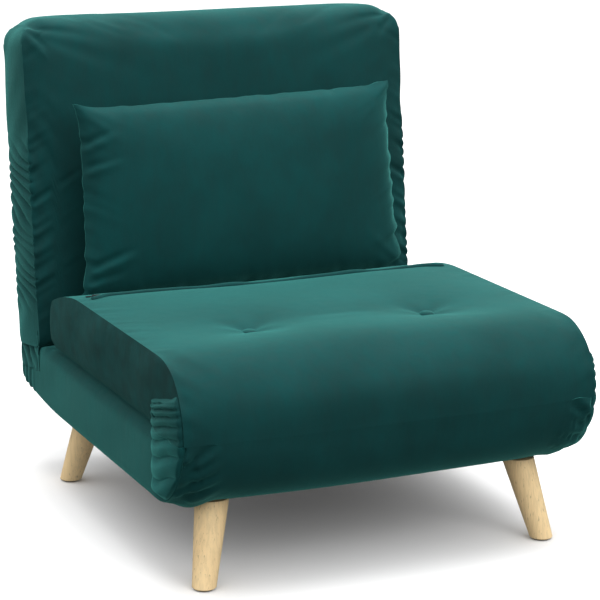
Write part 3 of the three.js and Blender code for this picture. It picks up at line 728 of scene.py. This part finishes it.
def sleeve_place(side):
    def place(x, v, w):
        up = SLEEVE_LOW + (SLEEVE_HIGH - SLEEVE_LOW) * w
        through = BACK_FRONT + 0.004 + (BACK_REAR - BACK_FRONT - 0.008) * v
        waist = np.sin(np.pi * w)
        slanted = through / SLEEVE_SPACING - 1.1 * w
        folds = SLEEVE_DEPTH * (pleat(slanted + 0.5 * ripple(w * 3 + through / 0.03, 71 + side)) - 0.6)
        out = (folds - 0.001) * (0.5 + 0.5 * waist) * np.sin(np.pi * np.clip(v, 0.02, 0.98)) ** 0.3
        across = EAR_INNER + 0.004 + (BACK_HALF - EAR_INNER - 0.006) * x + out * x
        narrow = 0.006 * (2 * v - 1) * (np.abs(2 * v - 1) > 0.99)
        sideways = BACK_SHIFT * (1.0 if side > 0 else 0.6)
        return in_back(side * across + sideways, through - narrow, up)

    return place


sleeves = []
for side, word in ((-1, "left"), (1, "right")):
    lines = spread(0, 3, 1.0), spread(0, 44, 1.0), spread(0, 24, 1.0)
    sleeve = grid_piece(f"recline_sleeve_{word}", *lines, sleeve_place(side), "")
    if side < 0:
        sleeve.data.flip_normals()
    sleeves.append(sleeve)

# ---------------------------------------------------------------- pillow

PILLOW_WIDTH, PILLOW_HEIGHT = 0.303, 0.167
PILLOW_CENTRE = np.array((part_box("pillow")[0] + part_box("pillow")[1]) / 2) + (0.005, 0, -0.007)
PILLOW_LEAN = math.radians(1.0)
PILLOW_EDGE, PILLOW_THICKNESS = 0.0015, 0.050


def pillow_place(x, v, w):
    """v runs from the front face to the rear face, and w from the lower edge to the upper."""
    across, height = x / PILLOW_WIDTH, 2 * w - 1
    pull_x = 0.011 * (1 - np.abs(height) ** 5)
    pull_z = np.where(height > 0, 0.010, -0.002) * (1 - np.abs(across) ** 9)
    px = x - np.sign(x) * np.abs(across) ** 3 * pull_x
    pz = height * PILLOW_HEIGHT - np.sign(height) * np.abs(height) ** 3 * pull_z
    fullness = (np.maximum(0, 1 - across ** 2) ** 0.5) * (np.maximum(0, 1 - height ** 2) ** 0.5)
    thick = PILLOW_EDGE + PILLOW_THICKNESS * fullness ** 0.8
    depth = (2 * v - 1) * thick
    px = px * (1 - 0.018 * height)
    pz = pz * (1 + 0.012 * across) + px * math.sin(PILLOW_LEAN)
    points = PILLOW_CENTRE + np.multiply.outer(depth, np.array(BACK_REARWARD))
    points += np.multiply.outer(pz, np.array(BACK_UP))
    points[:, 0] += px - pz * math.sin(PILLOW_LEAN)
    return points


xs_pillow = spread(-PILLOW_WIDTH, 74, PILLOW_WIDTH)
pillow = grid_piece("pillow_cushion", xs_pillow, spread(0, 1, 1.0), spread(0, 40, 1.0), pillow_place, "xw")
mesh = pillow.data
edge_points = point_values(mesh, "seam") > 0.5
held = np.where(edge_points, 0.25, 1.0)
PILLOW_PRESSURE, PILLOW_SWELL = 3.0, 0.010
puff(pillow, held, PILLOW_PRESSURE, PILLOW_SWELL)
refine(pillow)


def fold_pillow(piece):
    mesh = piece.data
    co, no = coordinates(mesh), normals(mesh)
    x, w = point_values(mesh, "grid_x"), point_values(mesh, "grid_w")
    up = (co - PILLOW_CENTRE) @ np.array(BACK_UP)
    from_side = PILLOW_WIDTH - np.abs(co[:, 0])
    from_end = PILLOW_HEIGHT - np.abs(up)
    shift = gather(up, from_side, 0.042, 0.0032, 0.028, 0.5, 61)
    shift += gather(co[:, 0], from_end, 0.06, 0.0014, 0.022, 0.4, 62)
    away = smooth(from_side / 0.05) * smooth(from_end / 0.04)
    shift += 0.0014 * ripple(co[:, 0] / 0.07 + up / 0.12, 63) * away
    centre, up_axis = PILLOW_CENTRE, np.array(BACK_UP)
    forward = -np.array(BACK_REARWARD)

    def spot(px, pz, out):
        point = centre + pz * up_axis + out * forward
        point[0] = px
        return point

    front = (co - centre) @ forward > 0.002
    tuck = crease(co, spot(-0.285, -0.12, 0.015), spot(-0.20, -0.085, 0.04), 0.006, 0.005)
    tuck += crease(co, spot(-0.29, -0.145, 0.01), spot(-0.215, -0.125, 0.03), 0.005, 0.003)
    tuck += crease(co, spot(-0.292, 0.09, 0.01), spot(-0.225, 0.118, 0.03), 0.006, 0.004)
    tuck += crease(co, spot(-0.292, 0.05, 0.01), spot(-0.215, 0.072, 0.035), 0.006, 0.0035)
    shift += front * tuck
    move_points(mesh, co + no * shift[:, None])


fold_pillow(pillow)

# ---------------------------------------------------------------- buttons

BUTTON_RISE = 0.006


def button_piece(side):
    centre = buttons[side]
    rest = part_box(f"button_{side}")[0].z
    mesh = bpy.data.meshes.new(f"button_velvet_{side}")
    build = bmesh.new()
    profile = [
        (0.0, 0.0066), (0.35, 0.0063), (0.62, 0.0055), (0.82, 0.0038),
        (0.95, 0.0012), (0.98, -0.0015), (0.9, -0.004),
    ]
    around = 32
    rings = []
    for share, height in profile[1:]:
        rings.append([
            build.verts.new((
                centre.x + button_radius * share * math.cos(2 * math.pi * n / around),
                centre.y + button_radius * share * math.sin(2 * math.pi * n / around),
                rest + BUTTON_RISE + height,
            ))
            for n in range(around)
        ])
    crown = build.verts.new((centre.x, centre.y, rest + BUTTON_RISE + profile[0][1]))
    foot = build.verts.new((centre.x, centre.y, rest + BUTTON_RISE + profile[-1][1]))
    for n in range(around):
        m = (n + 1) % around
        build.faces.new((crown, rings[0][n], rings[0][m]))
        for upper, lower in zip(rings[:-1], rings[1:]):
            build.faces.new((upper[n], lower[n], lower[m], upper[m]))
        build.faces.new((foot, rings[-1][m], rings[-1][n]))
    build.to_mesh(mesh)
    build.free()
    mesh.polygons.foreach_set("use_smooth", [True] * len(mesh.polygons))
    piece = bpy.data.objects.new(mesh.name, mesh)
    bpy.context.scene.collection.objects.link(piece)
    return piece


button_pieces = {side: button_piece(side) for side in buttons}

# ---------------------------------------------------------------- materials

def node_material(name):
    material = bpy.data.materials.new(name)
    material.use_nodes = True
    tree = material.node_tree
    tree.nodes.clear()
    output = tree.nodes.new("ShaderNodeOutputMaterial")
    shader = tree.nodes.new("ShaderNodeBsdfPrincipled")
    tree.links.new(shader.outputs[0], output.inputs[0])
    return material, tree, shader


def noise(tree, scale, detail=3.0, stretch=(1, 1, 1), roughness=0.5):
    place = tree.nodes.new("ShaderNodeTexCoord")
    mapping = tree.nodes.new("ShaderNodeMapping")
    mapping.inputs["Scale"].default_value = stretch
    tree.links.new(place.outputs["Object"], mapping.inputs["Vector"])
    texture = tree.nodes.new("ShaderNodeTexNoise")
    texture.inputs["Scale"].default_value = scale
    texture.inputs["Detail"].default_value = detail
    texture.inputs["Roughness"].default_value = roughness
    tree.links.new(mapping.outputs[0], texture.inputs["Vector"])
    return texture.outputs["Fac"]


def ramp(tree, source, stops):
    node = tree.nodes.new("ShaderNodeValToRGB")
    elements = node.color_ramp.elements
    while len(elements) < len(stops):
        elements.new(0.5)
    for element, (place, colour) in zip(elements, stops):
        element.position = place
        element.color = (*colour, 1)
    tree.links.new(source, node.inputs[0])
    return node.outputs[0]


def mix(tree, kind, factor, first, second):
    node = tree.nodes.new("ShaderNodeMix")
    node.data_type = "RGBA"
    node.blend_type = kind
    for socket, value in ((node.inputs[0], factor), (node.inputs[6], first), (node.inputs[7], second)):
        if isinstance(value, bpy.types.NodeSocket):
            tree.links.new(value, socket)
        else:
            socket.default_value = value
    return node.outputs[2]


def bump(tree, shader, *layers):
    """Bump from (height, distance) layers, one on another."""
    last = None
    for height, distance in layers:
        node = tree.nodes.new("ShaderNodeBump")
        node.inputs["Strength"].default_value = 1.0
        node.inputs["Distance"].default_value = distance
        tree.links.new(height, node.inputs["Height"])
        if last:
            tree.links.new(last, node.inputs["Normal"])
        last = node.outputs[0]
    tree.links.new(last, shader.inputs["Normal"])


def grey(level):
    return (level, level, level)


def velvet_material(name, painted_brightness, sheen, mottle=0.13, patch=9.0):
    """Short-pile velvet. The brightness argument scales the base colour: painted light or painted shade for
    how light falls on the pile's lie in a panel. sheen sets the sheen lobe, and mottle says how uneven the
    colour is.
    """
    material, tree, shader = node_material(name)
    patches = noise(tree, patch, 3.0)
    streaks = noise(tree, 60.0, 4.0, (1, 1, 0.35), 0.65)
    pile = noise(tree, 1400.0, 2.0)
    dark, light = (tuple(c * painted_brightness * share for c in VELVET) for share in (1 - mottle, 1 + mottle))
    colour = ramp(tree, patches, [(0.35, dark), (0.65, light)])
    brushed = ramp(tree, streaks, [(0.35, grey(0.86)), (0.65, grey(1.0))])
    fibres = ramp(tree, pile, [(0.25, grey(0.74)), (0.75, grey(1.0))])
    colour = mix(tree, "MULTIPLY", 1.0, colour, brushed)
    colour = mix(tree, "MULTIPLY", 1.0, colour, fibres)
    tree.links.new(colour, shader.inputs["Base Color"])
    roughness = ramp(tree, streaks, [(0.3, grey(0.78)), (0.7, grey(0.92))])
    tree.links.new(roughness, shader.inputs["Roughness"])
    shader.inputs["Specular IOR Level"].default_value = 0.15
    shader.inputs["Sheen Weight"].default_value = sheen
    shader.inputs["Sheen Roughness"].default_value = 0.42
    shader.inputs["Sheen Tint"].default_value = (*VELVET_TINT, 1)
    bump(tree, shader, (pile, 0.0002), (streaks, 0.0004))
    return material


VELVET = (0.0016, 0.044, 0.044)
VELVET_TINT = (0.12, 0.60, 0.535)

velvet = velvet_material("velvet", 1.0, 0.55)
# A darker copy of the velvet: painted shade for the seat's side panels, where the pile's lie turns the light
# away.
painted_shade_velvet = velvet_material("velvet_painted_shade", 0.78, 0.17, 0.3, 30.0)
# A lighter copy of the velvet: painted light for the lower webs.
painted_light_velvet = velvet_material("velvet_painted_light", 1.35, 0.66)
# A slightly lighter copy of the velvet: painted light for the pillow.
velvet_pillow_painted_lighter = velvet_material("pillow_velvet_with_painted_light", 1.12, 0.62)


def wood_material(name, light, dark, along=(1, 1, 0.06)):
    material, tree, shader = node_material(name)
    grain = noise(tree, 220.0, 4.0, along, 0.6)
    bands = noise(tree, 30.0, 2.0, along)
    flecks = noise(tree, 420.0, 2.0, (1, 1, 0.12))
    colour = ramp(tree, bands, [(0.3, light), (0.75, tuple((a + b) / 2 for a, b in zip(light, dark)))])
    lines = ramp(tree, grain, [(0.38, grey(0.8)), (0.58, grey(1.0))])
    spots = ramp(tree, flecks, [(0.28, grey(0.5)), (0.36, grey(1.0))])
    colour = mix(tree, "MULTIPLY", 0.6, colour, lines)
    colour = mix(tree, "MULTIPLY", 0.8, colour, spots)
    tree.links.new(colour, shader.inputs["Base Color"])
    roughness = ramp(tree, grain, [(0.3, grey(0.42)), (0.7, grey(0.55))])
    tree.links.new(roughness, shader.inputs["Roughness"])
    shader.inputs["Specular IOR Level"].default_value = 0.35
    bump(tree, shader, (grain, 0.0003), (flecks, 0.0002))
    return material


def metal_material(name, base, metallic, rough, wear):
    material, tree, shader = node_material(name)
    mottling = noise(tree, 160.0, 4.0)
    scratches = noise(tree, 500.0, 2.0, (0.08, 1, 1))
    dark, light = (tuple(c * share for c in base) for share in (1 - wear, 1 + wear))
    colour = ramp(tree, mottling, [(0.3, dark), (0.7, light)])
    tree.links.new(colour, shader.inputs["Base Color"])
    finish = ramp(tree, scratches, [(0.3, grey(rough * 0.85)), (0.7, grey(min(1.0, rough * 1.25)))])
    tree.links.new(finish, shader.inputs["Roughness"])
    shader.inputs["Metallic"].default_value = metallic
    bump(tree, shader, (mottling, 0.0001))
    return material


def foam_material(name, base):
    material, tree, shader = node_material(name)
    cells = tree.nodes.new("ShaderNodeTexVoronoi")
    cells.inputs["Scale"].default_value = 600
    tone = noise(tree, 20.0)
    colour = ramp(tree, tone, [(0.3, tuple(c * 0.9 for c in base)), (0.7, base)])
    # The pores are painted darker: painted shade in the foam's pits.
    pore_shade = ramp(tree, cells.outputs["Distance"], [(0.0, grey(0.7)), (0.5, grey(1.0))])
    tree.links.new(mix(tree, "MULTIPLY", 1.0, colour, pore_shade), shader.inputs["Base Color"])
    shader.inputs["Roughness"].default_value = 0.95
    bump(tree, shader, (cells.outputs["Distance"], 0.0006))
    return material


def lining_material(name, base):
    material, tree, shader = node_material(name)
    dots = tree.nodes.new("ShaderNodeTexVoronoi")
    dots.inputs["Scale"].default_value = 380
    fibres = noise(tree, 900.0, 3.0)
    colour = ramp(tree, fibres, [(0.3, tuple(c * 0.8 for c in base)), (0.7, tuple(c * 1.3 for c in base))])
    tree.links.new(colour, shader.inputs["Base Color"])
    shader.inputs["Roughness"].default_value = 0.9
    bump(tree, shader, (dots.outputs["Distance"], 0.0003), (fibres, 0.0002))
    return material


beech = wood_material("beech", (1.0, 0.76, 0.42), (0.88, 0.60, 0.30))
birch = wood_material("birch", (0.78, 0.60, 0.36), (0.55, 0.38, 0.20), (0.05, 1, 1))
black_steel = metal_material("black_steel", (0.02, 0.02, 0.022), 0.4, 0.5, 0.25)
zinc_steel = metal_material("zinc_steel", (0.55, 0.56, 0.57), 0.9, 0.35, 0.15)
rubber = metal_material("rubber", (0.015, 0.015, 0.015), 0.0, 0.85, 0.2)
foam = foam_material("foam", (0.75, 0.68, 0.50))
lining = lining_material("lining", (0.012, 0.012, 0.013))

finishes = {
    "velvet": velvet, "foam": foam, "lining": lining, "beech": beech, "birch": birch,
    "black_steel": black_steel, "zinc_steel": zinc_steel, "rubber": rubber,
}


def guess_slot(name):
    """The finish of a CAD node, by the kind of part it is."""
    kinds = (
        ("foam", "foam"), ("dust_cover", "lining"), ("glide", "rubber"), ("sleeve", "rubber"),
        ("slat", "birch"), ("leg_bolt", "zinc_steel"), ("zip_slider", "black_steel"), ("pin", "zinc_steel"),
        ("foot_leg", "black_steel"), ("leg_", "beech"), ("cover", "velvet"), ("flap", "velvet"),
        ("pillow", "velvet"), ("button", "velvet"),
    )
    return next((slot for word, slot in kinds if word in name), "black_steel")


for name, node in frame["nodes"].items():
    node.data.materials.clear()
    node.data.materials.append(finishes[guess_slot(name)])

# ---------------------------------------------------------------- what each piece rides on and stands for

def finish_piece(piece, body, stands_for, materials=(velvet,)):
    tidy_attributes(piece)
    for material in materials:
        piece.data.materials.append(material)
    if body:
        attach(piece, body)
    if stands_for:
        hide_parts(*stands_for)


def side_panels(piece, index):
    """Gives the faces on the two sides the second material, which on the seat is the velvet painted darker:
    painted shade on its side panels.
    """
    mesh = piece.data
    on_side = np.isclose(np.abs(point_values(mesh, "grid_x")), HALF_WIDTH, atol=1e-5)
    corner_lists = [all(on_side[v] for v in p.vertices) for p in mesh.polygons]
    mesh.polygons.foreach_set("material_index", np.array(corner_lists, np.int32) * index)


side_panels(seat, 1)
finish_piece(seat, "seat", ["seat_cover", "seat_foam", "sleep_foam"], (velvet, painted_shade_velvet))
finish_piece(base, "base", ["base_cover", "base_foam"])
finish_piece(back, "back", ["back_cover", "back_foam"])
finish_piece(pillow, "pillow", ["pillow"], (velvet_pillow_painted_lighter,))
finish_piece(flap, "foot", ["foot_flap"])
finish_piece(placket, "seat", [])
for side, piece in button_pieces.items():
    finish_piece(piece, "seat", [f"button_{side}"])
# The lower webs take the lighter copy of the velvet: painted light.
for web, body in webs:
    finish_piece(web, body, [], (velvet if body == "seat" else painted_light_velvet,))
for sleeve in sleeves:
    finish_piece(sleeve, None, [])
    start, end = (in_back(0.0, 0.0, up).tolist() for up in (SLEEVE_LOW + 0.01, SLEEVE_HIGH - 0.005))
    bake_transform(sleeve)

# ---------------------------------------------------------------- camera, floor and light

CAMERA_PLACE = Vector((-1.492050, -3.406040, 1.242346))
CAMERA_YAW, CAMERA_PITCH, CAMERA_ROLL = (math.radians(a) for a in (24.117, 13.621, 0.403))
level = math.cos(CAMERA_PITCH)
forward = Vector((math.sin(CAMERA_YAW) * level, math.cos(CAMERA_YAW) * level, -math.sin(CAMERA_PITCH)))
right = Vector((math.cos(CAMERA_YAW), -math.sin(CAMERA_YAW), 0))
up = right.cross(forward)
turned_right = right * math.cos(CAMERA_ROLL) + up * math.sin(CAMERA_ROLL)
turned_up = up * math.cos(CAMERA_ROLL) - right * math.sin(CAMERA_ROLL)
lens = bpy.data.cameras.new("camera")
LENS, SENSOR_WIDTH = 135.2, 36
lens.lens, lens.sensor_width = LENS, SENSOR_WIDTH
camera = bpy.data.objects.new("camera", lens)
bpy.context.scene.collection.objects.link(camera)
camera.matrix_world = Matrix((
    (turned_right.x, turned_up.x, -forward.x, CAMERA_PLACE.x),
    (turned_right.y, turned_up.y, -forward.y, CAMERA_PLACE.y),
    (turned_right.z, turned_up.z, -forward.z, CAMERA_PLACE.z),
    (0, 0, 0, 1),
))
bpy.context.scene.camera = camera
bpy.context.scene.view_settings.view_transform = "Standard"

floor_mesh = bpy.data.meshes.new("floor")
FLOOR_REACH, FLOOR_LEVEL = 40, -0.0005
corners = [(a * FLOOR_REACH, b * FLOOR_REACH, FLOOR_LEVEL) for a, b in ((-1, -1), (1, -1), (1, 1), (-1, 1))]
floor_mesh.from_pydata(corners, [], [(0, 1, 2, 3)])
floor = bpy.data.objects.new("floor", floor_mesh)
bpy.context.scene.collection.objects.link(floor)
floor_material, _, floor_shader = node_material("pale_floor")
floor_shader.inputs["Base Color"].default_value = (0.93, 0.93, 0.93, 1)
floor_shader.inputs["Roughness"].default_value = 0.9
floor_shader.inputs["Specular IOR Level"].default_value = 0.1
floor_mesh.materials.append(floor_material)


def area_light(name, place, target, size, power):
    light = bpy.data.lights.new(name, "AREA")
    light.shape, light.size, light.energy = "SQUARE", size, power
    lamp = bpy.data.objects.new(name, light)
    bpy.context.scene.collection.objects.link(lamp)
    lamp.location = place
    lamp.rotation_mode = "QUATERNION"
    lamp.rotation_quaternion = (Vector(target) - Vector(place)).to_track_quat("-Z", "Y")
    return lamp


SKY_LOW, SKY_HIGH = 0.12, 1.9
floor.visible_diffuse = False
floor.visible_glossy = False

middle = Vector((0, 0, 0.4))
TOP_POWER, FRONT_POWER = 70, 27
area_light("top_light", (0.2, 0.1, 3.2), middle, 2.2, TOP_POWER)
area_light("front_light", (0.9, -3.2, 2.2), middle, 1.8, FRONT_POWER)
world = bpy.data.worlds.new("studio")
bpy.context.scene.world = world
world.use_nodes = True
sky = world.node_tree
direction = sky.nodes.new("ShaderNodeTexCoord")
parts = sky.nodes.new("ShaderNodeSeparateXYZ")
sky.links.new(direction.outputs["Generated"], parts.inputs[0])
height = sky.nodes.new("ShaderNodeMapRange")
height.inputs["From Min"].default_value, height.inputs["From Max"].default_value = -0.3, 1.0
height.inputs["To Min"].default_value, height.inputs["To Max"].default_value = SKY_LOW, SKY_HIGH
sky.links.new(parts.outputs[2], height.inputs["Value"])
sky.links.new(height.outputs[0], sky.nodes["Background"].inputs[1])
sky.nodes["Background"].inputs[0].default_value = (1, 1, 1, 1)
